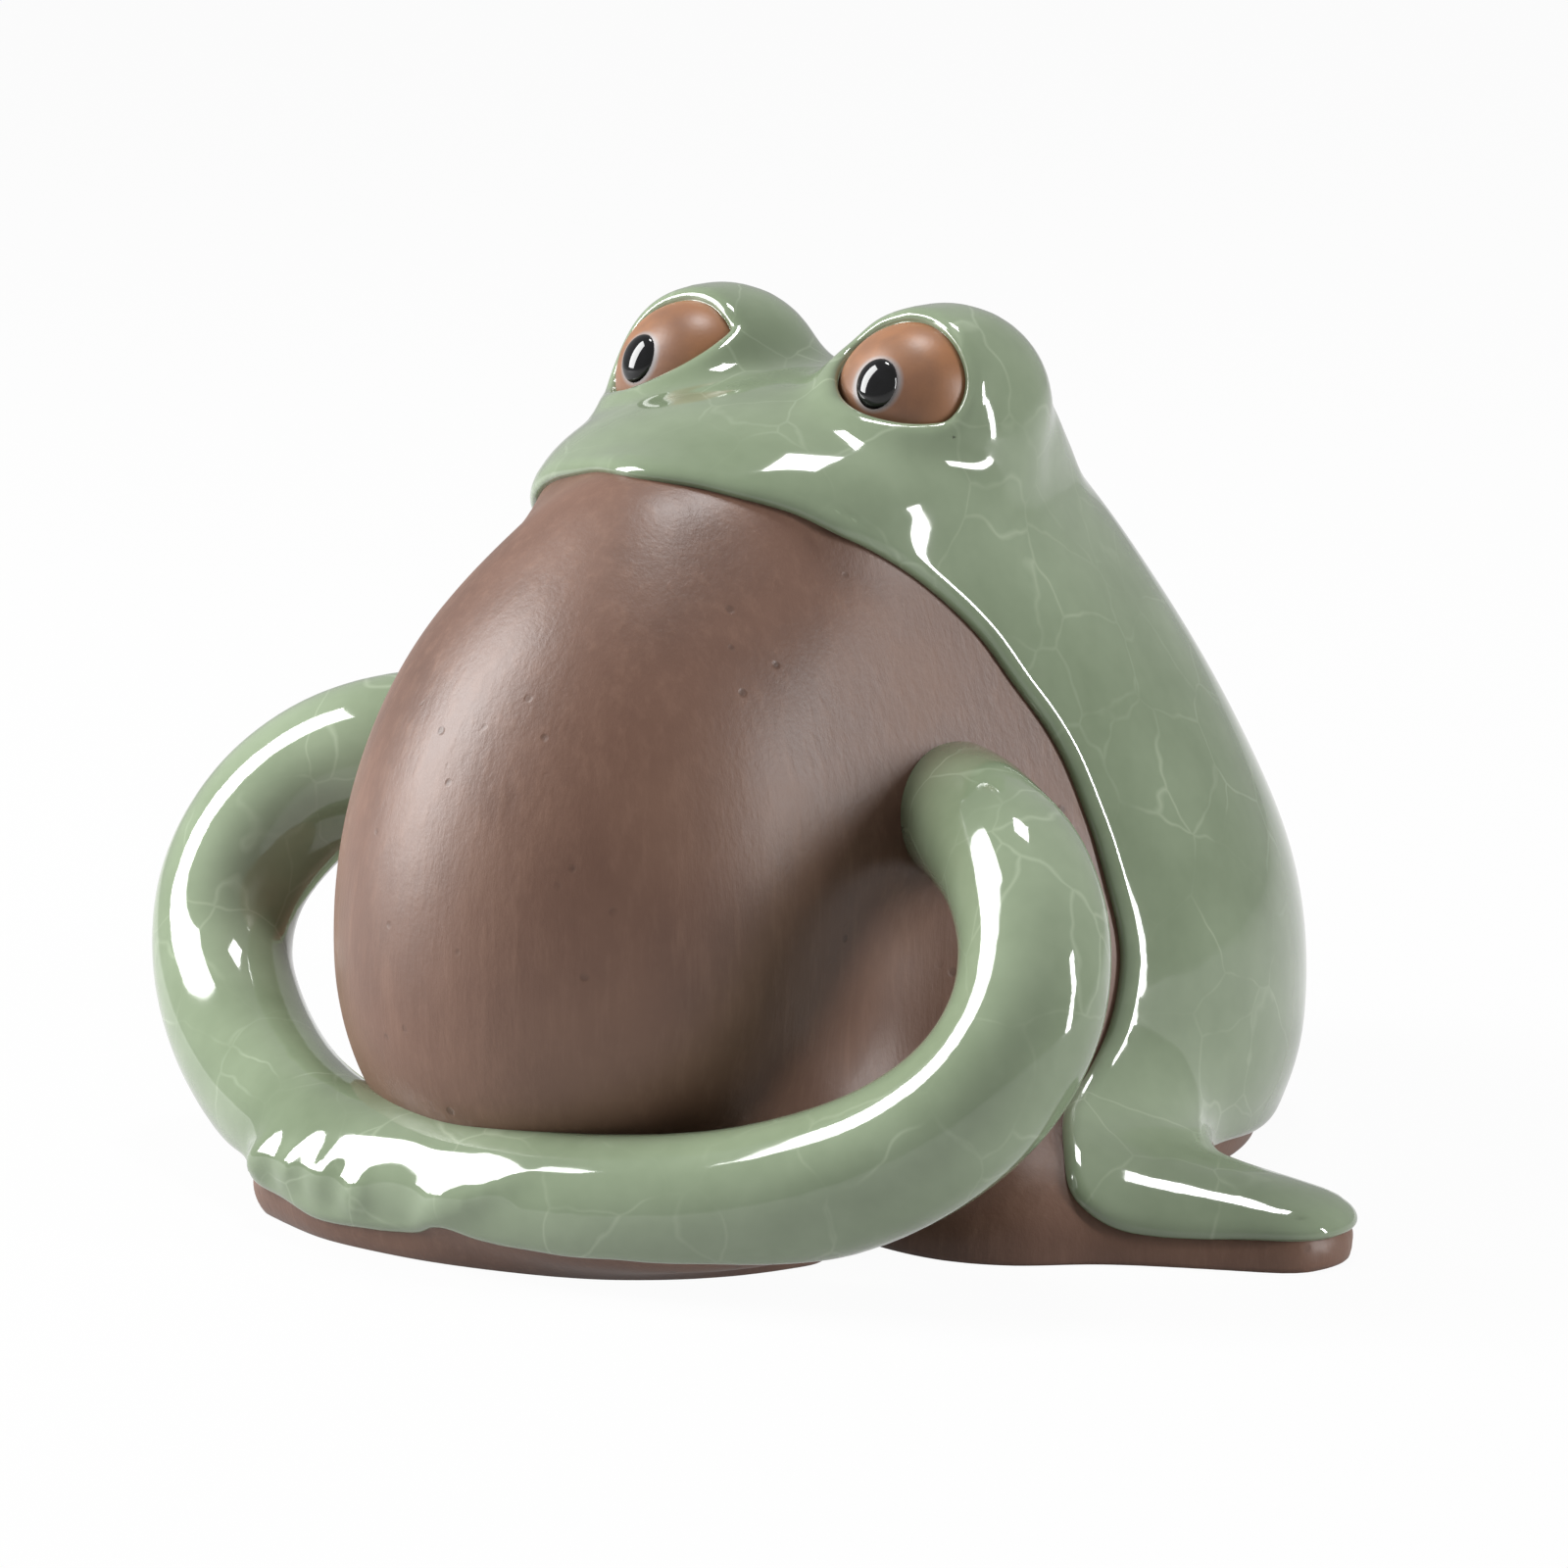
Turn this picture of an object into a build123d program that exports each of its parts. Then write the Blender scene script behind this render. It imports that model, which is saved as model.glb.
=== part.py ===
from build123d import *
import math
import os

# A sitting frog ornament, hand-built in dark stoneware with a thick crackle glaze.
# Sizes are in millimetres and angles in degrees. The frog faces -Y and stands on z = 0,
# and the origin lies on the ground at the turning axis of its round back.

os.makedirs("parts", exist_ok=True)

# Clay body and coats
wall = 3.5
glaze_thickness = 0.8
bare_band_height = 2.4
overrun = 6.0

# Round back, turned about Z: shares are (height, radius)
back_height = 61.0
back_radius = 31.9
back_shares = [
    (-0.12, 0.82),
    (0.0, 0.93),
    (0.13, 1.0),
    (0.33, 0.978),
    (0.525, 0.824),
    (0.72, 0.602),
    (0.885, 0.37),
    (0.975, 0.15),
    (1.0, 0.0),
]

# Round throat and belly, turned about an axis that leans back
belly_length = 63.6
belly_radius = 20.8
belly_lean = 13.2
belly_forward = 38.4
belly_sink = 1.5
belly_shares = [
    (0.0, 0.0),
    (0.03, 0.36),
    (0.085, 0.62),
    (0.16, 0.83),
    (0.285, 0.975),
    (0.476, 1.0),
    (0.667, 0.84),
    (0.838, 0.478),
    (0.9, 0.24),
    (0.92, 0.0),
]

# Neck swell that carries the throat into the back
neck_width = 41.0
neck_depth = 39.0
neck_rise = 15.0
neck_forward = 14.0
neck_height = 42.0

# Flanks that fill the waist between the throat and the back: shares are (height in back
# heights, then half width and distance forward in back radii, of the rear corner and of
# the front corner)
flank_shares = [
    (0.279, 0.711, 0.245, 0.381, 1.199),
    (0.393, 0.798, 0.244, 0.514, 1.173),
    (0.525, 0.781, 0.157, 0.596, 1.077),
    (0.623, 0.685, 0.113, 0.539, 1.002),
    (0.721, 0.569, 0.081, 0.448, 0.933),
    (0.828, 0.422, 0.084, 0.264, 0.874),
]

# Head with its broad lip
head_width = 36.0
head_depth = 38.6
head_rise = 7.9
head_forward = 13.0
head_height = 51.3
head_tilt = 5.0

# Brow domes
brow_spread = 10.9
brow_forward = 7.2
brow_height = 58.5
brow_width = 14.4
brow_depth = 15.4
brow_rise = 7.2

# Mouth line seen from the side, where the two halves of the body meet and the glaze ends:
# shares are (distance forward in back radii, height in back heights)
mouth_shares = [
    (1.4, 0.905),
    (1.05, 0.905),
    (0.93, 0.888),
    (0.815, 0.844),
    (0.71, 0.808),
    (0.614, 0.764),
    (0.495, 0.705),
    (0.345, 0.598),
    (0.31, 0.49),
    (0.326, 0.38),
    (0.348, 0.289),
    (0.392, 0.22),
    (0.455, 0.111),
    (0.533, 0.0),
    (0.59, -0.1),
]

# Floor of the hollow body, with the hole that lets steam and air out in the kiln
floor_thickness = 4.0
vent_diameter = 6.0
vent_back = 14.0
crown_height = 51.0

# Coil pressed over the seam inside
coil_width = 6.0
coil_thickness = 2.0

# Eyes
eye_radius = 6.1
eye_spread = 10.8
eye_forward = 10.5
eye_height = 58.9
eye_splay = 7.0
eye_lift = 20.0
eye_opening_radius = 5.4
pupil_radius = 2.0
pupil_rise = 0.9

# Arms: rolled clay on a bent path, from the shoulder to the middle of the front
arm_radius = 4.7
arm_reach = 38.6
arm_forward = 50.8
arm_rise = 31.0
arm_shares = [
    (0.52, 0.366, 0.985),
    (0.62, 0.429, 1.0),
    (0.74, 0.496, 0.99),
    (0.87, 0.553, 0.92),
    (0.965, 0.61, 0.79),
    (1.0, 0.673, 0.63),
    (0.945, 0.738, 0.46),
    (0.8, 0.809, 0.315),
    (0.585, 0.892, 0.215),
    (0.34, 0.965, 0.167),
    (0.13, 0.996, 0.16),
    (0.0, 1.0, 0.16),
]

# Hands: three fingers side by side on the ground, beyond the wrist
wrist_out = 19.0
finger_count = 3
finger_radius = 2.5
finger_height = 2.1
finger_first = 3.4
finger_pitch = 6.0
left_finger_reach = 2.0
right_finger_reach = 3.9
finger_fan = 9.0

# Hind legs: a low haunch that runs out to the foot
haunch_out = 26.0
haunch_forward = 17.5
haunch_radius = 13.2
haunch_rise = 9.0
foot_out = 45.4
foot_forward = 13.4
foot_radius = 6.0
foot_rise = 5.0
taper_share = 0.96
toe_count = 3
toe_radius = 2.3
toe_fan = 36.0

# The right leg is folded in closer than the left one
right_leg_tuck_in = 4.0
right_leg_tuck_back = 7.0

# The edge of the glaze on the haunch, a cut through the foot of the mouth line
coat_edge_out = 30.2
coat_edge_forward = 14.6
coat_edge_turn = 24.0


def ellipsoid(width, depth, rise):
    """An ellipsoid about the origin, rise measured from its middle."""
    return scale(Sphere(1), by=(width / 2, depth / 2, rise))


def swollen(points, amount):
    """Profile points of (radius, height) moved outwards by amount, square to the profile."""
    moved = []
    last = len(points) - 1
    for index, (radius, height) in enumerate(points):
        before = points[max(index - 1, 0)]
        after = points[min(index + 1, last)]
        along_radius = after[0] - before[0]
        along_height = after[1] - before[1]
        length = math.hypot(along_radius, along_height)
        new_radius = radius + amount * along_height / length
        new_height = height - amount * along_radius / length
        if radius == 0:
            new_radius = 0
            new_height = height - math.copysign(amount, along_radius)
        moved.append((new_radius, new_height))
    return moved


def turned(points):
    """The solid that a profile of (radius, height) points sweeps about Z."""
    first_radius, first_height = points[0]
    last_height = points[-1][1]
    edges = [Spline(*[(radius, 0, height) for radius, height in points])]
    if first_radius > 0:
        edges.append(Line((0, 0, first_height), (first_radius, 0, first_height)))
    edges.append(Line((0, 0, last_height), (0, 0, first_height)))
    return revolve(make_face(edges), axis=Axis.Z)


def back_form(grow):
    points = [(back_radius * radius, back_height * height) for height, radius in back_shares]
    return turned(swollen(points, grow))


def belly_form(grow):
    points = [(belly_radius * radius, belly_length * height) for height, radius in belly_shares]
    upright = turned(swollen(points, grow))
    return Pos(0, -belly_forward, -belly_sink) * Rot(-belly_lean, 0, 0) * upright


def neck_form(grow):
    form = ellipsoid(neck_width + 2 * grow, neck_depth + 2 * grow, neck_rise + grow)
    return Pos(0, -neck_forward, neck_height) * form


def flank_form(grow):
    """The fill on both sides of the waist, its side faces moved outward by grow."""
    sections = []
    for height, rear, rear_forward, front, front_forward in flank_shares:
        turn = math.atan2(rear - front, front_forward - rear_forward)
        rear_out = back_radius * rear + grow * math.cos(turn)
        rear_ahead = back_radius * rear_forward + grow * math.sin(turn)
        front_out = back_radius * front + grow * math.cos(turn)
        front_ahead = back_radius * front_forward + grow * math.sin(turn)
        corners = [
            (rear_out, -rear_ahead),
            (front_out, -front_ahead),
            (-front_out, -front_ahead),
            (-rear_out, -rear_ahead),
        ]
        outline = Polyline(*corners, close=True)
        sections.append(Pos(0, 0, back_height * height) * make_face(outline))
    return loft(sections)


def head_form(grow):
    form = ellipsoid(head_width + 2 * grow, head_depth + 2 * grow, head_rise + grow)
    return Pos(0, -head_forward, head_height) * Rot(head_tilt, 0, 0) * form


def brow_form(side, grow):
    form = ellipsoid(brow_width + 2 * grow, brow_depth + 2 * grow, brow_rise + grow)
    return Pos(side * brow_spread, -brow_forward, brow_height) * form


def above(height):
    """A block that holds everything over a height."""
    span = 4 * back_height
    return Pos(0, 0, height + span / 2) * Box(span, span, span)


def hollow_form(grow):
    """The swellings of the body that are hollow, without its brows and lip."""
    return back_form(grow) + belly_form(grow) + neck_form(grow) + flank_form(grow)


def body_form(grow):
    """The whole body before it is hollowed and split."""
    form = hollow_form(grow) + head_form(grow)
    for side in (1, -1):
        form += brow_form(side, grow)
    return form & above(0)


def behind_mouth(shift):
    """Everything behind the mouth line, the line moved forward by shift."""
    line = []
    for forward, height in mouth_shares:
        line.append((0, -forward * back_radius - shift, height * back_height))
    far = 2 * back_height
    low = line[-1][2]
    front = line[0]
    edges = [
        Spline(*line),
        Polyline(line[-1], (0, far, low), (0, far, far), (0, front[1], far), front),
    ]
    width = 4 * back_radius
    return Pos(-width / 2, 0, 0) * extrude(make_face(edges), amount=width, dir=(1, 0, 0))


def cavity_form(grow):
    """The hollow of the body, closed over by the solid crown of the head."""
    return (hollow_form(grow - wall) & above(0)) - above(crown_height + grow)


def eye_frame(side):
    """The eye's place, its Z axis pointing out through the pupil."""
    place = Pos(side * eye_spread, -eye_forward, eye_height)
    return place * Rot(0, 0, side * eye_splay) * Rot(90 - eye_lift, 0, 0)


def socket_form(side):
    """The eyeball and the round opening in front of it."""
    length = 2 * eye_radius
    opening = eye_frame(side) * Pos(0, 0, length / 2) * Cylinder(eye_opening_radius, length)
    return eye_frame(side) * Sphere(eye_radius) + opening


def arm_path(side):
    points = []
    for out, forward, height in arm_shares:
        points.append((side * out * arm_reach, -forward * arm_forward, height * arm_rise))
    return Spline(*points)


def own_half(side):
    """A block that holds one side of the ornament, where the two hands meet."""
    span = 4 * arm_forward
    return Pos(side * span / 2, 0, 0) * Box(span, span, span)


def finger_form(path, index, side, grow):
    """One finger, from the middle of the arm to its rounded tip."""
    along = 1 - (finger_first + index * finger_pitch) / path.length
    root = path @ along
    turn = side * index * finger_fan
    frame = Pos(root.X, root.Y, finger_height) * Rot(0, 0, turn) * Rot(90, 0, 0)
    radius = finger_radius + grow
    reach = left_finger_reach if side > 0 else right_finger_reach
    shaft = Pos(0, 0, reach / 2) * Cylinder(radius, reach)
    tip = Pos(0, 0, reach) * Sphere(radius)
    return frame * (shaft + tip)


def arm_form(side, grow):
    """One arm with its shoulder ball and fingers, flat on the ground."""
    path = arm_path(side)
    ring = Plane(origin=path @ 0, z_dir=path % 0) * Circle(arm_radius + grow)
    form = sweep(ring, path=path)
    form += Pos(*(path @ 0)) * Sphere(arm_radius + grow)
    for index in range(finger_count):
        form += finger_form(path, index, side, grow)
    return form & above(0) & own_half(side)


def hand_block(side):
    """A block round the hand, up to the wrist."""
    span = arm_forward
    return Pos(side * (wrist_out - span / 2), -arm_forward, 0) * Box(span, span, span)


def leg_frame(side):
    """The middle of the haunch on the ground, its X axis pointing out along the foot."""
    out = haunch_out
    forward = haunch_forward
    if side < 0:
        out -= right_leg_tuck_in
        forward -= right_leg_tuck_back
    turn = math.degrees(math.atan2(haunch_forward - foot_forward, foot_out - haunch_out))
    if side < 0:
        turn = 180 - turn
    return Pos(side * out, -forward, 0) * Rot(0, 0, turn)


leg_length = math.hypot(foot_out - haunch_out, haunch_forward - foot_forward)


def foot_form(side, grow):
    """The low stub of the foot with its toes."""
    form = Pos(leg_length, 0, 0) * ellipsoid(
        2 * (foot_radius + grow), 2 * (foot_radius + grow), foot_rise + grow
    )
    for index in range(toe_count):
        turn = (index - (toe_count - 1) / 2) * toe_fan
        place = Pos(leg_length, 0, 0) * Rot(0, 0, turn) * Pos(foot_radius - toe_radius / 2, 0, 0)
        form += place * Pos(0, 0, toe_radius / 2) * Sphere(toe_radius + grow)
    return (leg_frame(side) * form) & above(0)


def haunch_form(side, grow):
    """The low mound of the haunch, tapering out into the foot."""
    radius = haunch_radius + grow
    mound = ellipsoid(2 * radius, 2 * radius, haunch_rise + grow)
    inner = Ellipse(radius * taper_share, (haunch_rise + grow) * taper_share)
    outer = Ellipse((foot_radius + grow) * taper_share, (foot_rise + grow) * taper_share)
    taper = loft([Plane.YZ * inner, Plane.YZ * Pos(0, 0, leg_length) * outer], ruled=True)
    return (leg_frame(side) * (mound + taper)) & above(0)


def coat_block(side):
    """A block over the part of the haunch and foot that is glazed."""
    span = 4 * haunch_out
    turn = coat_edge_turn
    if side < 0:
        turn = 180 - turn
    place = Pos(side * coat_edge_out, -coat_edge_forward, 0) * Rot(0, 0, turn)
    return place * Pos(span / 2, 0, 0) * Box(span, span, span)


def write(shape, node):
    export_step(shape, "parts/" + node + ".step")


# The two halves of the hollow body and what closes them
body = body_form(0)
cavity = cavity_form(0)
sockets = socket_form(1) + socket_form(-1)
hollow_body = body - cavity
back_block = behind_mouth(0)
write((hollow_body & back_block) - sockets, "back_shell")
write(hollow_body - back_block, "belly_shell")

floor_block = above(0) - above(floor_thickness)
vent = Pos(0, vent_back, 0) * Cylinder(vent_diameter / 2, 2 * (floor_thickness + overrun))
write((cavity & floor_block) - vent, "base_slab")

coil_strip = behind_mouth(coil_width / 2) - behind_mouth(-coil_width / 2)
coil_ring = cavity - cavity_form(-coil_thickness)
write((coil_ring & coil_strip) & above(floor_thickness), "seam_coil")

# Eyes, legs and arms, each cut to the clay that it is pressed on
legs = []
leg_coats = []
for side, name in ((1, "left"), (-1, "right")):
    eyeball = eye_frame(side) * Sphere(eye_radius)
    bead_reach = math.sqrt(eye_radius**2 - pupil_radius**2)
    bead = ellipsoid(2 * pupil_radius, 2 * pupil_radius, pupil_rise)
    write(eyeball, name + "_eyeball")
    write(eye_frame(side) * Pos(0, 0, bead_reach) * bead - eyeball, name + "_pupil")

    foot = foot_form(side, 0)
    haunch = haunch_form(side, 0)
    leg = foot + haunch
    leg_coat = foot_form(side, glaze_thickness) + haunch_form(side, glaze_thickness)
    write(foot - body, name + "_foot")
    write(haunch - foot - body, name + "_haunch")
    legs.append(leg)
    leg_coats.append((leg_coat - leg) & coat_block(side))

    arm_core = arm_form(side, 0)
    arm = arm_core - body - leg
    write(arm - hand_block(side), name + "_arm")
    write(arm & hand_block(side), name + "_hand")
    arm_coat = arm_form(side, glaze_thickness) & above(bare_band_height)
    write(arm_coat - arm_core - body - leg, name + "_arm_glaze")

# The coat over the head, back and hind legs
back_coat = (body_form(glaze_thickness) & back_block) + leg_coats[0] + leg_coats[1]
trimmed_coat = back_coat & above(bare_band_height)
write(trimmed_coat - body - legs[0] - legs[1] - sockets, "back_glaze")
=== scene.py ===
import math

import bmesh
import bpy
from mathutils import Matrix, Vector, noise


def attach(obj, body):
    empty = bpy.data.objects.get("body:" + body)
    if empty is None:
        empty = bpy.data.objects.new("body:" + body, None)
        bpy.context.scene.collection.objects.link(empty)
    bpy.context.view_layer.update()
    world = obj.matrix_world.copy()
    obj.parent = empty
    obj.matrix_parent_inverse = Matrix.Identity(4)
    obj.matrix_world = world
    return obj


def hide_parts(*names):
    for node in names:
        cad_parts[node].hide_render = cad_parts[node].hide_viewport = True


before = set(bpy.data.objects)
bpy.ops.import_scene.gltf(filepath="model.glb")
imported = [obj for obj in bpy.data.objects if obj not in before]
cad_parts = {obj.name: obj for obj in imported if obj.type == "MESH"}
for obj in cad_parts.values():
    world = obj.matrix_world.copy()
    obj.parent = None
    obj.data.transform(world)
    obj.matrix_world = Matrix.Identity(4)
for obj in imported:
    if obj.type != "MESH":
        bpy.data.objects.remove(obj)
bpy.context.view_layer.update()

MM = 0.001
bpy.context.scene.view_settings.view_transform = "Standard"

# Clay body
# The frog's hollow body: a round back, a round belly leaning against it, a flat head with
# two brow domes and low hind legs. It is brown stoneware, pinched and wiped smooth while wet,
# so every joint between its swellings is rubbed over and nothing on it is sharp.


def deselect():
    if bpy.context.object and bpy.context.object.mode != "OBJECT":
        bpy.ops.object.mode_set(mode="OBJECT")
    bpy.ops.object.select_all(action="DESELECT")


def pick(piece, *others):
    """Makes piece the active object, with others selected beside it."""
    deselect()
    for other in others:
        other.select_set(True)
    piece.select_set(True)
    bpy.context.view_layer.objects.active = piece


def settle(piece):
    """Puts a piece's place, turn and size into its mesh."""
    pick(piece)
    bpy.ops.object.transform_apply(location=True, rotation=True, scale=True)
    return piece


def swelling(place, size, turn=(0, 0, 0)):
    """A rounded lump of clay: place, width, depth and height in mm, turn in degrees."""
    deselect()
    bpy.ops.mesh.primitive_uv_sphere_add(
        segments=96, ring_count=48, radius=0.5 * MM, location=[c * MM for c in place],
        rotation=[math.radians(a) for a in turn], scale=size)
    return settle(bpy.context.object)


def profile_at(points, height):
    """Radius at a height of a smooth line through points of (height, radius)."""
    last = len(points) - 1
    for index in range(last):
        low, high = points[index], points[index + 1]
        if low[0] <= height <= high[0]:
            before, after = points[max(index - 1, 0)], points[min(index + 2, last)]
            span = high[0] - low[0]
            share = (height - low[0]) / span
            rise_low = (high[1] - before[1]) / (high[0] - before[0]) * span
            rise_high = (after[1] - low[1]) / (after[0] - low[0]) * span
            cube, square = share ** 3, share ** 2
            return ((2 * cube - 3 * square + 1) * low[1] + (cube - 2 * square + share) * rise_low
                    + (3 * square - 2 * cube) * high[1] + (cube - square) * rise_high)
    return points[-1][1]


def thrown(points, rings=60):
    """A form thrown on the wheel: a ring is extruded up and resized along its profile."""
    heights = []
    for ring in range(rings + 1):
        share = 0.5 - 0.5 * math.cos(math.pi * ring / rings)
        heights.append(points[0][0] + (points[-1][0] - points[0][0]) * share)
    radii = [max(profile_at(points, height), 0.05) for height in heights]
    deselect()
    bpy.ops.mesh.primitive_circle_add(
        vertices=96, radius=radii[0] * MM, fill_type="NGON", location=(0, 0, heights[0] * MM))
    form = settle(bpy.context.object)
    bpy.ops.object.mode_set(mode="EDIT")
    bpy.ops.mesh.select_all(action="SELECT")
    for ring in range(1, rings + 1):
        rise = (heights[ring] - heights[ring - 1]) * MM
        grow = radii[ring] / radii[ring - 1]
        bpy.ops.mesh.extrude_region_move(TRANSFORM_OT_translate={"value": (0, 0, rise)})
        bpy.ops.transform.resize(value=(grow, grow, 1), center_override=(0, 0, 0))
    bpy.ops.mesh.select_all(action="SELECT")
    bpy.ops.mesh.normals_make_consistent(inside=False)
    bpy.ops.object.mode_set(mode="OBJECT")
    return form


def use_modifier(piece, kind, **settings):
    """Adds a modifier with its settings and applies it."""
    pick(piece)
    bpy.ops.object.modifier_add(type=kind)
    modifier = piece.modifiers[-1]
    for name, value in settings.items():
        setattr(modifier, name, value)
    bpy.ops.object.modifier_apply(modifier=modifier.name)
    return piece


def remesh(piece, grain):
    return use_modifier(piece, "REMESH", mode="VOXEL", voxel_size=grain * MM)


def rub(piece, strokes):
    return use_modifier(piece, "SMOOTH", factor=0.5, iterations=strokes)


def swell(piece, amount):
    """Moves a surface along its normals by an amount in mm, out or in."""
    pick(piece)
    bpy.ops.object.mode_set(mode="EDIT")
    bpy.ops.mesh.select_all(action="SELECT")
    bpy.ops.transform.shrink_fatten(value=amount * MM)
    bpy.ops.object.mode_set(mode="OBJECT")
    return piece


def fuse(pieces, grain, fillet, strokes):
    """Presses lumps into one form, fills its creases to a fillet radius and rubs it smooth."""
    pick(pieces[0], *pieces[1:])
    bpy.ops.object.join()
    form = bpy.context.object
    remesh(form, grain)
    if fillet:
        swell(form, fillet)
        remesh(form, grain)
        rub(form, 2)
        swell(form, -fillet)
        remesh(form, grain)
    rub(form, strokes)
    return form


back_profile = [(-7.3, 26.0), (0, 29.2), (7.9, 31.9), (20.1, 31.2), (32, 26.3), (43.9, 19.2),
                (52.5, 12.6), (56, 7.5), (57.6, 0.0)]
belly_profile = [(0, 0), (1.9, 7.5), (5.4, 12.9), (10.2, 17.3), (18.1, 20.3), (30.3, 20.8),
                 (42.4, 17.5), (53.3, 10), (57.2, 5), (58.5, 0)]


def leg(side, tuck_in, tuck_back):
    """One hind leg: haunch mound, the taper to the foot, and three toes."""
    hip = (side * (26.0 - tuck_in), -17.5 + tuck_back, 0)
    foot = (side * (45.4 - tuck_in), -13.4 + tuck_back, 0)
    run = Vector(foot) - Vector(hip)
    turn = math.degrees(math.atan2(run.y, run.x))
    lumps = [swelling(hip, (26.4, 26.4, 18))]
    for step in range(1, 6):
        share = step / 6
        place = Vector(hip).lerp(Vector(foot), share)
        wide = 26.4 + (11.8 - 26.4) * share ** 0.75
        high = 18 + (9.4 - 18) * share ** 0.75
        lumps.append(swelling(place, (13, wide, high), (0, 0, turn)))
    lumps.append(swelling(foot, (12, 12, 9.6)))
    for index in (-1, 0, 1):
        aim = math.radians(turn + 36 * index)
        toe = Vector(foot) + Vector((math.cos(aim), math.sin(aim), 0)) * 4.85
        lumps.append(swelling((toe.x, toe.y, 1.3), (4.8, 4.8, 4.8)))
    return lumps


def leaning(profile, lean, forward, sink):
    """A thrown form set down forward of the back's middle and leant back against it."""
    form = thrown(profile)
    form.rotation_euler = (math.radians(-lean), 0, 0)
    form.location = (0, -forward * MM, -sink * MM)
    return settle(form)


def cut_level(piece, height, keep_above=True):
    """Cuts a form off flat at a height in mm and closes the cut."""
    pick(piece)
    bpy.ops.object.mode_set(mode="EDIT")
    bpy.ops.mesh.select_all(action="SELECT")
    bpy.ops.mesh.bisect(plane_co=(0, 0, height * MM), plane_no=(0, 0, 1), use_fill=True,
                        clear_inner=keep_above, clear_outer=not keep_above,
                        threshold=0.001 * MM)
    bpy.ops.object.mode_set(mode="OBJECT")
    return piece


def stretched_over(pieces):
    """One taut skin over several forms, as clay is wiped straight across a joint."""
    pick(pieces[0], *pieces[1:])
    bpy.ops.object.join()
    bpy.ops.object.mode_set(mode="EDIT")
    bpy.ops.mesh.select_all(action="SELECT")
    bpy.ops.mesh.convex_hull()
    bpy.ops.object.mode_set(mode="OBJECT")
    return bpy.context.object


# The flanks run straight across from the back to the belly and up to the head, over a
# hollow near the ground that is left open behind the arms.
flank_back = cut_level(thrown(back_profile), 27)
flank_belly = cut_level(leaning(belly_profile, 13.2, 38.4, 1.5), 27)
cheeks = swelling((0, -12.5, 48.5), (37, 38, 19), (8, 0, 0))
flanks = stretched_over([flank_back, flank_belly, cheeks])
head = swelling((0, -13, 51.3), (36.4, 39, 16.4), (5, 0, 0))
body_lumps = [thrown(back_profile), leaning(belly_profile, 13.2, 38.4, 1.5), flanks, head]
body_lumps += leg(1, 0, 0) + leg(-1, 4, 7)
for side in (1, -1):
    body_lumps.append(swelling((side * 9.6, -7.5, 54), (16.4, 17, 16)))
    body_lumps.append(swelling((side * 10.2, -3.8, 54.6), (12.8, 15.4, 12.6)))
    body_lumps.append(swelling((side * 9, 0.3, 51.6), (12.6, 13.4, 12.6)))
trunk = fuse(body_lumps, 0.8, 7, 8)
eye_across, eye_forward, eye_height = 10.8, -10.5, 58.9
crown_lumps = [trunk]
for side in (1, -1):
    crown_lumps.append(swelling((side * 10.9, -7.2, 58.3), (14.2, 15.2, 14)))
    crown_lumps.append(swelling((side * eye_across, eye_forward, eye_height), (12.8,) * 3))
    for height in (50.5, 54, 57):
        crown_lumps.append(swelling((side * 11.8, -8.2, height), (12.8, 14, 13)))
body_form = fuse(crown_lumps, 0.7, 3, 12)
body_form.name = "body_form"


def copy_of(piece, name):
    pick(piece)
    bpy.ops.object.duplicate()
    twin = bpy.context.object
    twin.name = name
    return twin


def eye_axis(side):
    """The way an eye looks: ahead, a little outwards and up, the right one further out."""
    splay, lift = math.radians(5 if side > 0 else -12), math.radians(21)
    return Vector((math.sin(splay) * math.cos(lift), -math.cos(splay) * math.cos(lift),
                   math.sin(lift)))


def eye_middle(side):
    return Vector((side * eye_across, eye_forward, eye_height))


def eye_egg(side, width, length):
    """An egg around an eye, with its long way where the eye looks: full sizes in mm."""
    turn = eye_axis(side).to_track_quat("Z", "Y").to_euler()
    return swelling(eye_middle(side), (width, width, length), [math.degrees(a) for a in turn])


def dig_out(form, block):
    """Takes a block's shape out of a form."""
    use_modifier(form, "BOOLEAN", operation="DIFFERENCE", solver="EXACT", object=block)
    bpy.data.objects.remove(block)


eye_socket = (13.3, 16)
clay_body = cut_level(copy_of(body_form, "clay_body"), 0)
for side in (1, -1):
    dig_out(clay_body, eye_egg(side, *eye_socket))
# A kiln vent goes up through the base. This piece is filled, so the vent ends blind.
vent_diameter, vent_depth, vent_back = 6, 14, 14
deselect()
bpy.ops.mesh.primitive_cylinder_add(
    vertices=48, radius=vent_diameter / 2 * MM, depth=2 * vent_depth * MM,
    location=(0, vent_back * MM, 0))
dig_out(clay_body, bpy.context.object)


def linear(code):
    """An sRGB hex colour as Blender's linear one."""
    parts = [int(code[i:i + 2], 16) / 255 for i in (1, 3, 5)]
    return tuple(c / 12.92 if c <= 0.04045 else ((c + 0.055) / 1.055) ** 2.4
                 for c in parts) + (1,)


def material(name):
    made = bpy.data.materials.new(name)
    made.use_nodes = True
    return made, made.node_tree.nodes["Principled BSDF"]


def node(made, kind, settings=None, **links):
    """Adds a node; settings are its properties or unlinked sockets, links are sockets."""
    added = made.node_tree.nodes.new("ShaderNode" + kind)
    for key, value in (settings or {}).items():
        if isinstance(key, str) and hasattr(added, key):
            setattr(added, key, value)
        else:
            added.inputs[key].default_value = value
    for key, source in links.items():
        made.node_tree.links.new(source, added.inputs[int(key[1:]) if key[0] == "_" else key])
    return added


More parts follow.
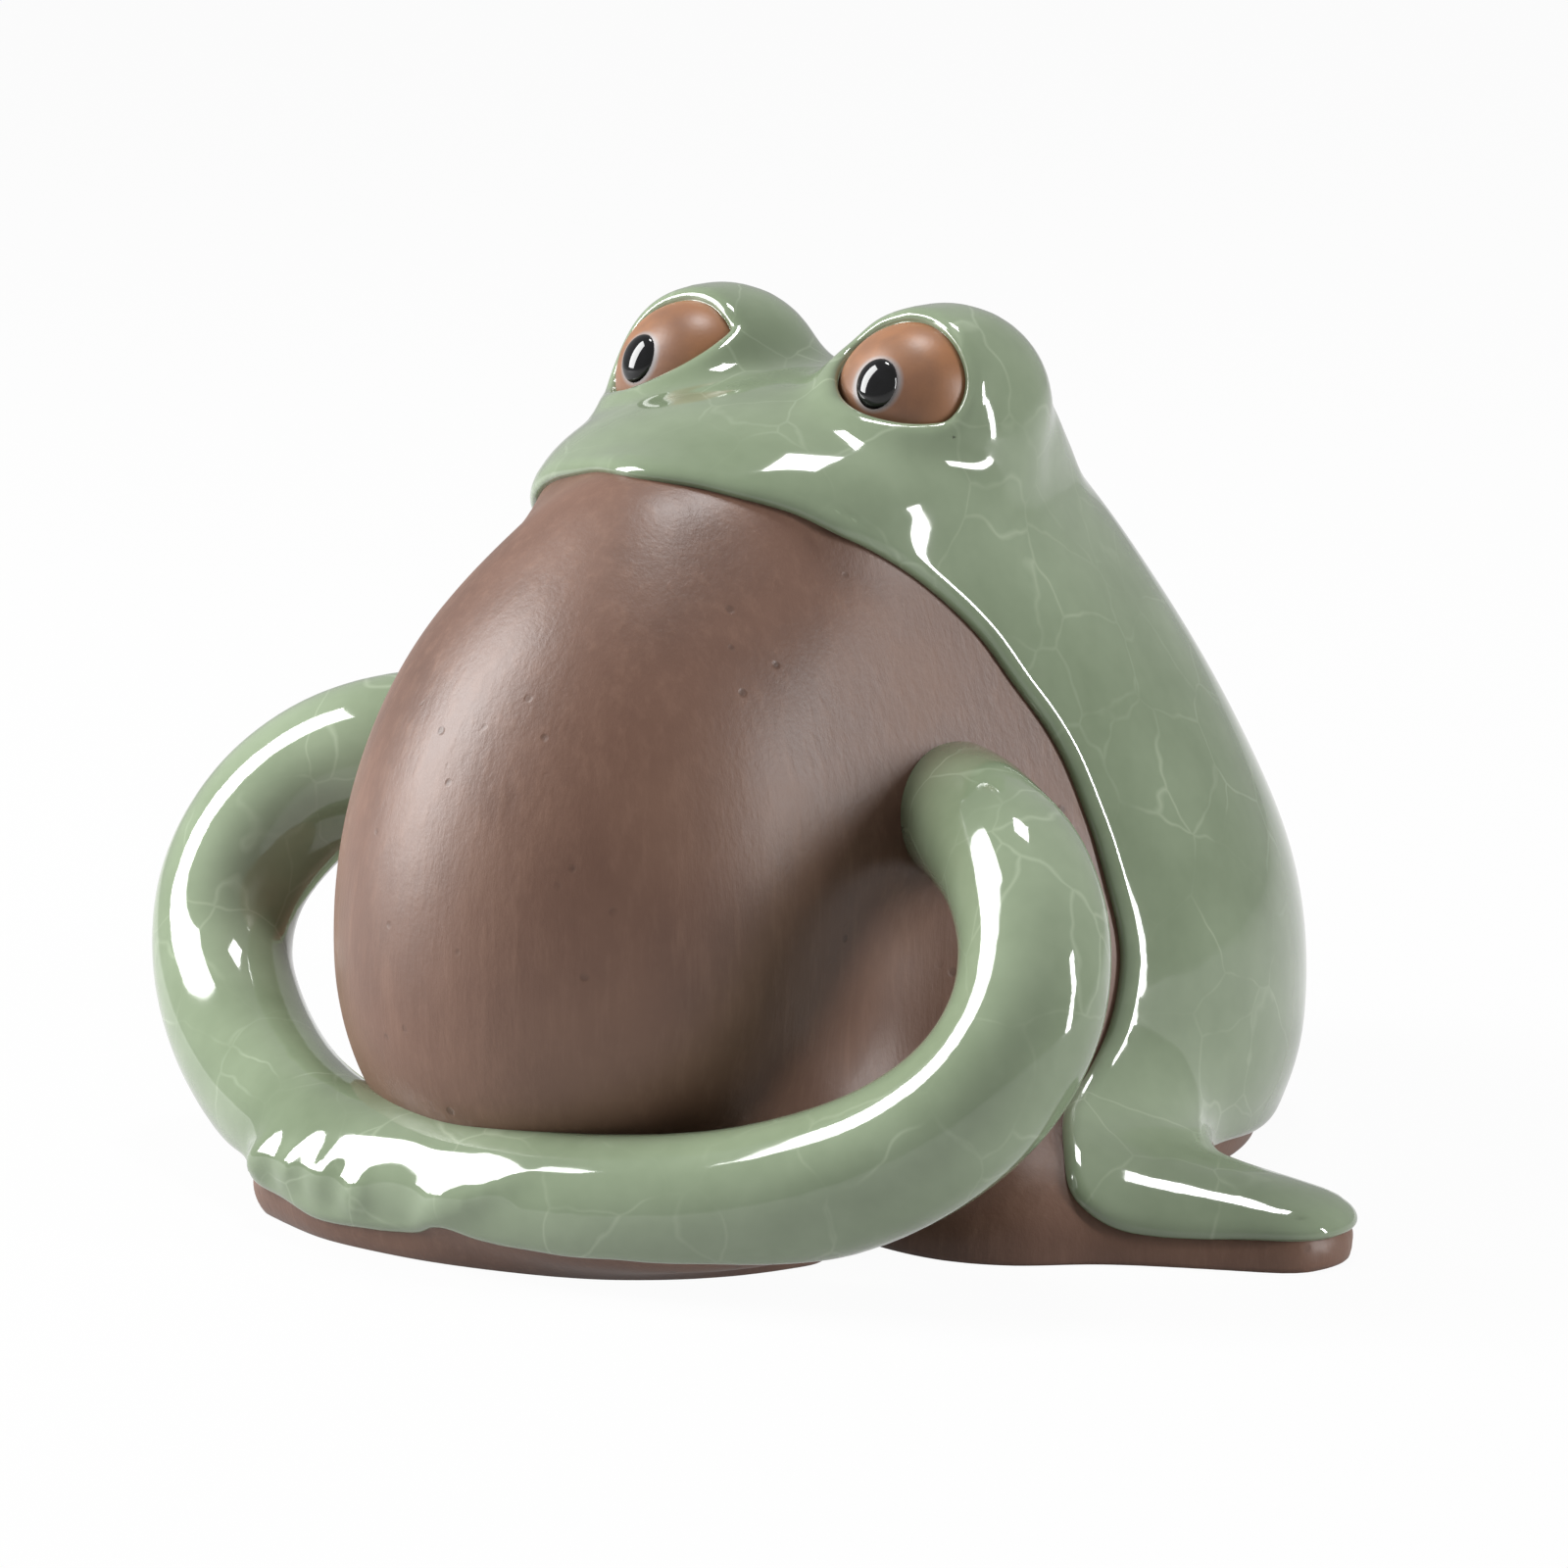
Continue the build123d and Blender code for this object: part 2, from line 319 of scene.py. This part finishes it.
def ramp(made, source, *stops):
    """A colour ramp read along source; stops are (place, hex colour)."""
    added = node(made, "ValToRGB", None, Fac=source)
    band = added.color_ramp
    while len(band.elements) < len(stops):
        band.elements.new(1)
    for element, (place, code) in zip(band.elements, stops):
        element.position = place
        element.color = linear(code)
    return added.outputs["Color"]


def spread(made, source, low, high, new_low, new_high):
    """Maps a value from one range to another and holds it there."""
    return node(made, "MapRange", {1: low, 2: high, 3: new_low, 4: new_high},
                _0=source).outputs[0]


def blend(made, share, below, above):
    """Mixes two colours by a share; either may be a socket or a hex colour."""
    added = node(made, "Mix", {"data_type": "RGBA"})
    made.node_tree.links.new(share, added.inputs[0])
    for index, source in ((6, below), (7, above)):
        if isinstance(source, str):
            added.inputs[index].default_value = linear(source)
        else:
            made.node_tree.links.new(source, added.inputs[index])
    return added.outputs[2]


def finish_with(made, shader, colour, height, strength, distance):
    """Links a colour and a bump, whose distance is in mm, to a shader."""
    bump = node(made, "Bump", {"Strength": strength, "Distance": distance * MM},
                Height=height)
    made.node_tree.links.new(colour, shader.inputs["Base Color"])
    made.node_tree.links.new(bump.outputs["Normal"], shader.inputs["Normal"])


def dress(piece, made, slot, *stands_for):
    """Gives a piece its finish and its place in the frame."""
    piece.data.materials.clear()
    piece.data.materials.append(made)
    pick(piece)
    bpy.ops.object.shade_smooth()
    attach(piece, "root")
    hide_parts(*stands_for)


# Bare stoneware, fired brown. Wiping left fine streaks that run down the form, a satin
# shine on the ridges between them, and small pits where grit was dragged out, each
# darkened with painted shade.
clay, shader = material("stoneware_wiped_bare")
spot = node(clay, "TexCoord").outputs["Object"]
cloud = node(clay, "TexNoise", {"Scale": 55, "Detail": 6, "Roughness": 0.6}, Vector=spot)
tone = ramp(clay, cloud.outputs["Fac"], (0.28, "#5A4034"), (0.5, "#6B4E40"), (0.72, "#785A4A"))
drawn = node(clay, "Mapping", {"Scale": (1, 1, 0.14)}, Vector=spot)
streak = node(clay, "TexNoise", {"Scale": 900, "Detail": 4, "Roughness": 0.7},
              Vector=drawn.outputs[0])
tone = blend(clay, spread(clay, streak.outputs["Fac"], 0.5, 0.75, 0, 0.3), tone, "#8A6B5A")
grit = node(clay, "TexVoronoi", {"Scale": 420, "Randomness": 1}, Vector=spot)
sparse = node(clay, "TexNoise", {"Scale": 130, "Detail": 2}, Vector=spot)
hole = node(clay, "Math", {"operation": "MULTIPLY"},
            _0=spread(clay, grit.outputs["Distance"], 0.1, 0.17, 1, 0),
            _1=spread(clay, sparse.outputs["Fac"], 0.55, 0.62, 0, 1))
# Painted shade: the pits are darkened towards near-black brown, as if shade lay inside them.
tone = blend(clay, spread(clay, hole.outputs[0], 0, 1, 0, 0.5), tone, "#33231B")
fine = node(clay, "TexNoise", {"Scale": 2600, "Detail": 3}, Vector=spot)
rise = node(clay, "Math", {"operation": "MULTIPLY_ADD", 1: 0.35},
            _0=fine.outputs["Fac"], _2=streak.outputs["Fac"])
rise = node(clay, "Math", {"operation": "SUBTRACT"}, _0=rise.outputs[0], _1=hole.outputs[0])
finish_with(clay, shader, tone, rise.outputs[0], 0.35, 0.12)
shine = spread(clay, cloud.outputs["Fac"], 0.3, 0.7, 0.38, 0.5)
clay.node_tree.links.new(shine, shader.inputs["Roughness"])

dress(clay_body, clay, "stoneware", "back_shell", "belly_shell", "base_slab", "seam_coil",
      "left_haunch", "right_haunch", "left_foot", "right_foot")


# Glaze on the head, back and hind legs
# A thick celadon glaze poured over the head, back and hind legs. It stops along the mouth
# line and a finger's width of bare clay above the ground, where the melt has drawn itself
# into a fat rolled edge that stands proud of the clay.
glaze_thickness = 0.97
body_roll, into_clay = 1.3, 0.15
eye_opening = (14.5, 17.2)
mouth_line = [(-70, 56.6), (-48, 56.6), (-38, 56.5), (-33.6, 56), (-30.4, 56), (-28, 55.2),
              (-26.4, 54.1), (-24.3, 52.4), (-21.4, 50.2), (-18, 47.4), (-14.5, 43.8),
              (-12.7, 40.6), (-10.9, 37.2), (-9.7, 33.8), (-9.2, 30.4), (-8.6, 26.7),
              (-8.6, 23.2), (-8.8, 20.3), (-9.4, 17.5), (-11, 13.6), (-14, 10.9),
              (-18, 9.2), (-21.4, 7.2), (-23.4, 5.2), (-22.8, 4), (-19, 3.8), (-10, 3.8),
              (0, 3.6), (10, 2.6), (25, 2.4), (50, 2.4)]


def wander(place, size, reach, seed):
    """A soft random shift in mm, the same on every run."""
    point = Vector(place) / size + Vector((seed, seed * 1.7, 0))
    return reach * noise.noise(point)


def wall_from_rows(rows, name):
    """A sheet of clay-cutting wire: rows of points in mm, closed into a solid block."""
    count = len(rows[0])
    points = [tuple(c * MM for c in point) for row in rows for point in row]
    faces = []
    for row in range(len(rows) - 1):
        for step in range(count):
            after = (step + 1) % count
            faces.append((row * count + step, row * count + after,
                          (row + 1) * count + after, (row + 1) * count + step))
    faces.append(tuple(range(count)))
    faces.append(tuple((len(rows) - 1) * count + step for step in range(count)))
    mesh = bpy.data.meshes.new(name)
    mesh.from_pydata(points, [], faces)
    block = bpy.data.objects.new(name, mesh)
    bpy.context.collection.objects.link(block)
    pick(block)
    bpy.ops.object.mode_set(mode="EDIT")
    bpy.ops.mesh.select_all(action="SELECT")
    bpy.ops.mesh.normals_make_consistent(inside=False)
    bpy.ops.object.mode_set(mode="OBJECT")
    return block


def smooth_line(points, spacing):
    """Points about a spacing in mm apart on a smooth line through the given ones."""
    line = []
    last = len(points) - 1
    for index in range(last):
        before, low = points[max(index - 1, 0)], points[index]
        high, after = points[index + 1], points[min(index + 2, last)]
        steps = max(1, round(math.dist(low, high) / spacing))
        for step in range(steps):
            t = step / steps
            line.append(tuple(
                0.5 * (2 * b + (c - a) * t + (2 * a - 5 * b + 4 * c - d) * t * t
                       + (3 * b - a - 3 * c + d) * t ** 3)
                for a, b, c, d in zip(before, low, high, after)))
    line.append(tuple(points[-1]))
    return line


cut_marks = [bpy.data.materials.new("kept"), bpy.data.materials.new("cut")]
shortest_edge = 0.12


def cut_open(coat, block, operation):
    """Cuts a coat with a block and leaves it open where the cut is."""
    for piece, mark in zip((coat, block), cut_marks):
        piece.data.materials.clear()
        piece.data.materials.append(mark)
    use_modifier(coat, "BOOLEAN", operation=operation, solver="EXACT",
                 material_mode="TRANSFER", object=block)
    names = [slot.material.name if slot.material else "" for slot in coat.material_slots]
    pick(coat)
    bpy.ops.object.mode_set(mode="EDIT")
    bpy.ops.mesh.select_mode(type="FACE")
    bpy.ops.mesh.select_all(action="DESELECT")
    bpy.ops.object.mode_set(mode="OBJECT")
    for face in coat.data.polygons:
        face.select = names[face.material_index] == cut_marks[1].name
    bpy.ops.object.mode_set(mode="EDIT")
    bpy.ops.mesh.delete(type="FACE")
    bpy.ops.mesh.select_all(action="SELECT")
    bpy.ops.mesh.remove_doubles(threshold=shortest_edge * MM)
    bpy.ops.object.mode_set(mode="OBJECT")
    bpy.data.objects.remove(block)
    return coat


def edge_loops(shape):
    """The open edges of a mesh, as ordered rings of vertices."""
    left = dict.fromkeys(edge for edge in shape.edges if edge.is_boundary)
    loops = []
    while left:
        edge, _ = left.popitem()
        ring = [edge.verts[0], edge.verts[1]]
        while True:
            further = [e for e in ring[-1].link_edges if e in left]
            if not further:
                break
            del left[further[0]]
            ring.append(further[0].other_vert(ring[-1]))
        if ring[0] is ring[-1]:
            ring.pop()
        loops.append(ring)
    return loops


def ease(ring, values, passes):
    """Averages vectors along a closed ring."""
    count = len(ring)
    for _ in range(passes):
        values = [(values[i - 1] + 2 * values[i] + values[(i + 1) % count]) / 4
                  for i in range(count)]
    return values


edge_passes, normal_passes, along_passes = 14, 20, 5
largest_graze = 50


def roll_edges(coat, width, depth, tuck):
    """Rolls each open edge of a coat over, down to the clay and a little under itself.

    All three sizes are in mm. The upper part of the roll is a quarter round, as wide as the
    roll, and the lower part turns back in under it.
    """
    shape = bmesh.new()
    shape.from_mesh(coat.data)
    # A small hole, where a cutter only grazed the coat, is closed again.
    open_edges = [edge for edge in shape.edges if edge.is_boundary]
    bmesh.ops.holes_fill(shape, edges=open_edges, sides=largest_graze)
    shape.normal_update()
    upper_share, lower_share = 0.62, 0.5
    for ring in edge_loops(shape):
        count = len(ring)
        places = ease(ring, [v.co.copy() for v in ring], edge_passes)
        normals = ease(ring, [v.normal.copy() for v in ring], normal_passes)
        inner = []
        for vert in ring:
            middle = Vector()
            for face in vert.link_faces:
                middle += face.calc_center_median() / len(vert.link_faces)
            inner.append(middle)
        along = ease(ring, [(places[(i + 2) % count] - places[i - 2]).normalized()
                            for i in range(count)], along_passes)
        across = [along[i].cross(normals[i]).normalized() for i in range(count)]
        votes = sum(across[i].dot(places[i] - inner[i]) for i in range(count))
        outward = [aim if votes > 0 else -aim for aim in across]
        for vert, place in zip(ring, places):
            vert.co = place
        path = [(width * math.sin(a), -depth * upper_share * (1 - math.cos(a)))
                for a in (0.2, 0.45, 0.7, 0.95, 1.2, 1.4, 1.57)]
        path += [(width - tuck * (1 - math.cos(a)),
                  -depth * (upper_share + lower_share * math.sin(a)))
                 for a in (0.4, 0.8, 1.2, 1.57)]
        last_ring = ring
        for out, down in path:
            new_ring = [shape.verts.new(places[i] + outward[i] * out * MM
                                        + normals[i].normalized() * down * MM)
                        for i in range(count)]
            for i in range(count):
                after = (i + 1) % count
                face = shape.faces.new((last_ring[i], last_ring[after],
                                        new_ring[after], new_ring[i]))
                face.normal_update()
                if face.normal.dot(outward[i] + normals[i]) < 0:
                    face.normal_flip()
            last_ring = new_ring
    shape.to_mesh(coat.data)
    shape.free()
    return coat


# Low down, the edge of the glaze runs forward over the haunches alone, and the right leg is
# tucked in closer than the left one.
haunch_top, haunch_back, haunch_shoulder, right_tuck = 13.3, -11.5, 6, 6
coat_rows = []
for across in range(-60, 61, 2):
    inner_side = 25 if across > 0 else 21
    near = min(max((abs(across) - inner_side) / haunch_shoulder, 0.06), 1)
    row = []
    for forward, height in smooth_line(mouth_line, 1.2):
        if height < haunch_top and forward < haunch_back:
            reach = haunch_back - forward
            if across < 0:
                reach -= right_tuck * min((haunch_top - height) / 5, 1) * min(reach / 10, 1)
            forward = haunch_back - reach * near
        shift = wander((across, forward, height), 7, 0.45, 3) if forward > -32 else 0
        row.append((across, forward + shift, height + shift * 0.8))
    row += [(across, 50, 80), (across, -70, 80)]
    coat_rows.append(row)
body_glaze = swell(copy_of(body_form, "head_and_back_glaze"), glaze_thickness)
cut_open(body_glaze, wall_from_rows(coat_rows, "mouth_cutter"), "INTERSECT")
for side in (1, -1):
    cut_open(body_glaze, eye_egg(side, *eye_opening), "DIFFERENCE")
roll_edges(body_glaze, body_roll, glaze_thickness + into_clay, 0.5)
bpy.data.objects.remove(body_form)

# Celadon glaze, poured thick and fired glossy. It clouds where it pooled, and a net of
# fine pale crazing lines crosses it; under the glass its surface is slightly wavy.
celadon, shader = material("celadon_glaze_poured_crazed")
spot = node(celadon, "TexCoord").outputs["Object"]
cloud = node(celadon, "TexNoise", {"Scale": 45, "Detail": 5, "Roughness": 0.6}, Vector=spot)
tone = ramp(celadon, cloud.outputs["Fac"], (0.28, "#6C7A60"), (0.5, "#7D8B71"),
            (0.72, "#8D9B81"))
bent = node(celadon, "TexNoise", {"Scale": 90, "Detail": 3}, Vector=spot)
shift = node(celadon, "VectorMath", {"operation": "SCALE", "Scale": 0.006},
             _0=bent.outputs["Color"])
place = node(celadon, "VectorMath", {"operation": "ADD"}, _0=spot, _1=shift.outputs[0])
net = node(celadon, "TexVoronoi", {"feature": "DISTANCE_TO_EDGE", "Scale": 130},
           Vector=place.outputs[0])
line = spread(celadon, net.outputs["Distance"], 0, 0.022, 1, 0)
faded = spread(celadon, bent.outputs["Fac"], 0.42, 0.62, 0.02, 0.32)
line = node(celadon, "Math", {"operation": "MULTIPLY"}, _0=line, _1=faded)
tone = blend(celadon, line.outputs[0], tone, "#B4C0A8")
wave = node(celadon, "TexNoise", {"Scale": 110, "Detail": 1}, Vector=spot)
finish_with(celadon, shader, tone, wave.outputs["Fac"], 0.12, 1.2)
shader.inputs["Roughness"].default_value = 0.07
shader.inputs["IOR"].default_value = 1.52
shader.inputs["Coat Weight"].default_value = 0.4
shader.inputs["Coat Roughness"].default_value = 0.02

dress(body_glaze, celadon, "celadon_glaze", "back_glaze")


# Arms and hands
# Two rolls of the same clay, pressed on at the shoulder, bent out and round to the front and
# laid on the ground, where the hands meet with their fingers side by side. They are dipped
# in the same glaze, down to a bare band along the ground.
arm_path = [(17.5, -17.5, 28.5), (20, -18.8, 30.3), (24, -21.8, 31), (28.5, -25.2, 30.8),
            (33.7, -28.1, 28.7), (37.4, -31, 24.6), (38.6, -34.2, 19.5), (36.4, -37.5, 14.2),
            (30.9, -41.1, 9.7), (22.5, -45.3, 6.6), (13, -49, 5.3), (5, -50.6, 5.1),
            (0, -50.8, 5)]
arm_girth = [4.6, 5.3, 5.2, 5.2, 5.4, 5.5, 5.5, 5.5, 5.5, 5.4, 5.3, 5.2, 5.1]
# The right arm hangs a little thicker below its shoulder than the left one.
right_arm_path = arm_path[:2] + [(24, -21.8, 29.3), (28.5, -25.2, 29.5), (33.2, -28.1, 28),
                                 (36.8, -31, 24.3), (38.3, -34.2, 19.4)] + arm_path[7:]
right_arm_girth = [4.6, 5.6, 6.9, 6.5, 6.1, 6.1, 5.8] + arm_girth[7:]
sole_path = [(-17, -49.4, 2.2), (-12, -51, 2.2), (-8, -51.6, 2.2), (0, -51, 2.2),
             (8.4, -48.5, 2.2), (13.6, -45.2, 2.2), (17.4, -41, 2.2), (19.4, -36.5, 2.2)]


def rolled(points, girths, side):
    """A roll of clay bent along a path, with rounded ends."""
    line = smooth_line([tuple(p) + (g,) for p, g in zip(points, girths)], 1.5)
    deselect()
    bpy.ops.curve.primitive_nurbs_path_add(location=(0, 0, 0))
    rail = bpy.context.object
    curve = rail.data
    curve.splines.clear()
    spline = curve.splines.new("POLY")
    spline.points.add(len(line) - 1)
    for point, (x, y, z, girth) in zip(spline.points, line):
        point.co = (side * x * MM, y * MM, z * MM, 1)
        point.radius = girth
    curve.bevel_depth = MM
    curve.bevel_resolution = 10
    curve.use_fill_caps = True
    pick(rail)
    bpy.ops.object.convert(target="MESH")
    ends = [swelling((side * line[k][0], line[k][1], line[k][2]), (2 * line[k][3],) * 3)
            for k in (0, -1)]
    return [rail] + ends


def on_roll(across, climb, out):
    """A point over the roll of the hands: angle up from its front, height over its skin."""
    angle = math.radians(climb)
    middle = -50.8 + 0.006 * across * across
    return (across, middle - (5.2 + out) * math.cos(angle), 5 + (5.2 + out) * math.sin(angle))


arm_roll, arm_coat, sole_girth = 0.9, 0.6, 4.2
arm_lumps = rolled(sole_path, [sole_girth] * len(sole_path), 1)
arm_lumps += rolled(arm_path, arm_girth, 1) + rolled(right_arm_path, right_arm_girth, -1)
for side in (1, -1):
    arm_lumps.append(swelling((side * 20.3, -19.2, 30.2), (11.6, 11.6, 11.6)))
# Four blunt fingers of the right hand, and two folds where the left one is pressed on it
for across, climb in ((-16.6, 8), (-12.8, 14), (-9.2, 12), (-5.8, 4)):
    arm_lumps += rolled([on_roll(across + 1.2, climb, -1.6), on_roll(across, climb - 16, -1.2),
                         on_roll(across, climb - 44, -1.3)], [2, 2, 1.8], 1)
for reach, climb in ((5.6, 42), (9.6, 38)):
    arm_lumps += rolled([on_roll(1.2, -18, -0.5), on_roll(reach / 2 + 0.6, 12, -0.2),
                         on_roll(reach, climb, -0.5)], [0.9, 0.9, 0.6], 1)
arm_form = fuse(arm_lumps, 0.55, 1, 5)

# The glaze stops about 2.5 mm over the ground, lower on the right hand's fingers and
# higher at the notch between the hands.
glaze_foot = [(-60, 3.6), (-22, 4.2), (-18, 4), (-16.4, 3.3), (-10, 2.6), (0.2, 3), (1.3, 4.2),
              (3, 4), (5.5, 3.5), (8, 3.4), (60, 3.4)]


def level_at(table, across):
    for (low, a), (high, b) in zip(table, table[1:]):
        if low <= across <= high:
            return a + (b - a) * (across - low) / (high - low)
    return table[-1][1]


arms_glaze = copy_of(arm_form, "arms_glaze")
band_rows = []
for index in range(0, 141):
    across = -56 + index * 0.8
    row = []
    for step in range(41):
        forward = -70 + step * 2
        rise = level_at(glaze_foot, across) + wander((across, forward, 0), 6, 0.3, 8)
        row.append((across, forward, rise))
    row += [(across, 10, 60), (across, -70, 60)]
    band_rows.append(row)
cut_open(arms_glaze, wall_from_rows(band_rows, "band_cutter"), "INTERSECT")
roll_edges(arms_glaze, arm_roll, arm_roll, 0.3)
arms_clay = cut_level(swell(arm_form, -arm_coat), 0)
arms_clay.name = "arms_clay"

dress(arms_clay, clay, "stoneware", "left_arm", "right_arm", "left_hand", "right_hand")
dress(arms_glaze, celadon, "celadon_glaze", "left_arm_glaze", "right_arm_glaze")


# Eyes
# Each eye is a ball of a finer, redder clay, set in a socket under the hood of the brow and
# left bare. The pupil is a bead of black glaze, brushed on thick with a thin grey halo.
eye_diameter = 12.3
pupil_radii, pupil_ahead, halo_ahead = (1.75, 1.95, 0.9), 5.75, 5.9
eye_clay, shader = material("eye_clay_burnished_bare")
spot = node(eye_clay, "TexCoord").outputs["Object"]
cloud = node(eye_clay, "TexNoise", {"Scale": 260, "Detail": 5}, Vector=spot)
tone = ramp(eye_clay, cloud.outputs["Fac"], (0.3, "#74513D"), (0.55, "#845D43"),
            (0.75, "#966847"))
from_pupil = [node(eye_clay, "VectorMath", {
    "operation": "DISTANCE", 1: (eye_middle(side) + eye_axis(side) * halo_ahead) * MM}, _0=spot)
    for side in (1, -1)]
away = node(eye_clay, "Math", {"operation": "MINIMUM"}, _0=from_pupil[0].outputs["Value"],
            _1=from_pupil[1].outputs["Value"])
tone = blend(eye_clay, spread(eye_clay, away.outputs[0], 0.0019, 0.0023, 0.7, 0), tone,
             "#8A8D90")
tone = blend(eye_clay, spread(eye_clay, away.outputs[0], 0.0042, 0.0062, 0, 0.6), tone,
             "#98653F")
fine = node(eye_clay, "TexNoise", {"Scale": 3000, "Detail": 3}, Vector=spot)
finish_with(eye_clay, shader, tone, fine.outputs["Fac"], 0.2, 0.05)
shader.inputs["Roughness"].default_value = 0.4

black, shader = material("black_glaze_brushed_glossy")
spot = node(black, "TexCoord").outputs["Object"]
cloud = node(black, "TexNoise", {"Scale": 900, "Detail": 2}, Vector=spot)
tone = ramp(black, cloud.outputs["Fac"], (0.3, "#050505"), (0.7, "#101013"))
finish_with(black, shader, tone, cloud.outputs["Fac"], 0.05, 0.1)
shader.inputs["Roughness"].default_value = 0.05

for side, name in ((1, "left"), (-1, "right")):
    eye = swelling(eye_middle(side), (eye_diameter,) * 3)
    eye.name = name + "_eye"
    aim = eye_axis(side)
    deselect()
    bpy.ops.mesh.primitive_uv_sphere_add(
        segments=48, ring_count=24, radius=MM, scale=pupil_radii,
        location=(eye_middle(side) + aim * pupil_ahead) * MM,
        rotation=aim.to_track_quat("Z", "Y").to_euler())
    pupil = settle(bpy.context.object)
    pupil.name = name + "_pupil_bead"
    dress(eye, eye_clay, "eye_clay", name + "_eyeball")
    dress(pupil, black, "black_glaze", name + "_pupil")


# Floor and studio
# A sheet of white paper and white air. Seen by the camera the paper is almost fully white
# and keeps the soft shadow under the figure. Shiny surfaces mirror both, but less brightly.
paper_seen, paper_mirrored, air_mirrored, air_strength = 0.96, 0.5, 0.25, 0.2
deselect()
bpy.ops.mesh.primitive_plane_add(size=8, location=(0, 0, 0))
floor = bpy.context.object
floor.name = "floor"
paper, shader = material("white_paper")
floor.data.materials.append(paper)
shader.inputs["Base Color"].default_value = linear("#BDBDBD")
shader.inputs["Roughness"].default_value = 0.8
rays = node(paper, "LightPath")
white = node(paper, "Emission", {"Color": (1, 1, 1, 1), "Strength": 1})
seen = node(paper, "Math", {"operation": "MULTIPLY_ADD", 1: paper_mirrored},
            _0=rays.outputs["Is Glossy Ray"], _2=rays.outputs["Is Camera Ray"])
seen = node(paper, "Math", {"operation": "MULTIPLY", 1: paper_seen}, _0=seen.outputs[0])
mix = node(paper, "MixShader", None, _0=seen.outputs[0], _1=shader.outputs[0],
           _2=white.outputs[0])
paper.node_tree.links.new(mix.outputs[0], paper.node_tree.nodes["Material Output"].inputs[0])

world = bpy.data.worlds.new("studio_air")
bpy.context.scene.world = world
world.use_nodes = True
air = world.node_tree.nodes["Background"]
air.inputs["Strength"].default_value = air_strength
shown = node(world, "Background", {"Strength": 1})
air.inputs["Color"].default_value = shown.inputs["Color"].default_value = (1, 1, 1, 1)
rays = node(world, "LightPath")
seen = node(world, "Math", {"operation": "MULTIPLY_ADD", 1: air_mirrored},
            _0=rays.outputs["Is Glossy Ray"], _2=rays.outputs["Is Camera Ray"])
mix = node(world, "MixShader", None, _0=seen.outputs[0], _1=air.outputs[0],
           _2=shown.outputs[0])
world.node_tree.links.new(mix.outputs[0], world.node_tree.nodes["World Output"].inputs[0])


def softbox(name, place, aim_height, width, height, watts):
    """A rectangular lamp, sizes in metres, turned to the figure at a height."""
    light = bpy.data.lights.new(name, "AREA")
    light.shape = "RECTANGLE"
    light.size, light.size_y = width, height
    light.energy = watts
    lamp = bpy.data.objects.new(name, light)
    bpy.context.collection.objects.link(lamp)
    lamp.location = place
    aim = Vector((0, -0.01, aim_height)) - Vector(place)
    lamp.rotation_euler = aim.to_track_quat("-Z", "Y").to_euler()


softbox("left_softbox", (-0.46, -0.34, 0.35), 0.03, 0.26, 0.62, 8.4)
softbox("right_strip", (0.68, 0.2, 0.2), 0.1, 0.07, 0.5, 4)
softbox("top_softbox", (-0.05, 0.12, 0.7), 0.03, 0.14, 0.14, 2)


# Camera
# It stands where the photograph was taken from: ahead and to the figure's left, a little above.
target = Vector((0, -12.96, 28.84)) * MM
camera_distance = 450
turn, rise = math.radians(39), math.radians(11.5)
outward = Vector((math.sin(turn) * math.cos(rise), -math.cos(turn) * math.cos(rise),
                  math.sin(rise)))
lens = bpy.data.cameras.new("camera")
lens.sensor_width = 36
lens.lens = 134.66
lens.clip_start = 0.01
camera = bpy.data.objects.new("camera", lens)
bpy.context.collection.objects.link(camera)
camera.location = target + outward * camera_distance * MM
camera.rotation_euler = (-outward).to_track_quat("-Z", "Y").to_euler()
bpy.context.scene.camera = camera
